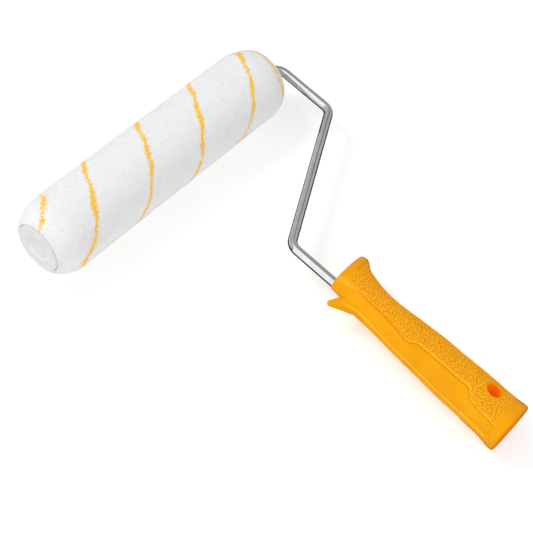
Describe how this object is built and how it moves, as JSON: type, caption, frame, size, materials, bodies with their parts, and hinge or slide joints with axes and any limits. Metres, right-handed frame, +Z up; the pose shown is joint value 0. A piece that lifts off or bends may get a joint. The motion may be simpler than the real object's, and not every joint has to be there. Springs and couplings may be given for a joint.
{
  "type": "paint roller",
  "caption": "Paint roller: striped fleece cover on a wire cage that spins on a bent plated rod, with a moulded hooked handle that has a hanging hole and a pole socket.",
  "frame": {"origin": "middle of the box around the tool, on the surface that it lies on", "axes": "+X along the roller's axis towards the end where the rod leaves it, -Y towards the handle, +Z up"},
  "size_m": [0.251, 0.3433, 0.0585],
  "materials": {
    "fleece": "soft pile",
    "core_plastic": "matt",
    "cap_plastic": "satin",
    "bearing_plastic": "satin",
    "plated_rod": "bright zinc plate",
    "wire_steel": "drawn wire",
    "steel": "plated",
    "grip_plastic": "satin gloss"
  },
  "bodies": {
    "frame": {"frame_rod": "plated_rod", "handle": "grip_plastic", "stop_collar": "steel", "inner_thrust_washer": "steel", "outer_thrust_washer": "steel", "push_nut": "steel"},
    "cage": {"inner_cage_cap": "cap_plastic", "outer_cage_cap": "cap_plastic", "inner_bearing": "bearing_plastic", "outer_bearing": "bearing_plastic", "dust_cap": "cap_plastic", "cage_wire_1": "wire_steel", "cage_wire_2": "wire_steel", "cage_wire_3": "wire_steel", "cage_wire_4": "wire_steel", "cage_wire_5": "wire_steel"},
    "cover": {"core_tube": "core_plastic", "nap_cover": "fleece"}
  },
  "joints": [
    {"name": "roller_spin", "type": "hinge", "parent": "frame", "child": "cage", "pos_m": [-0.0087, 0.14265, 0.029], "axis": [1, 0, 0], "continuous": true},
    {"name": "cover_slide", "type": "slide", "parent": "cage", "child": "cover", "axis": [-1, 0, 0], "range_m": [0, 0.24]}
  ]
}
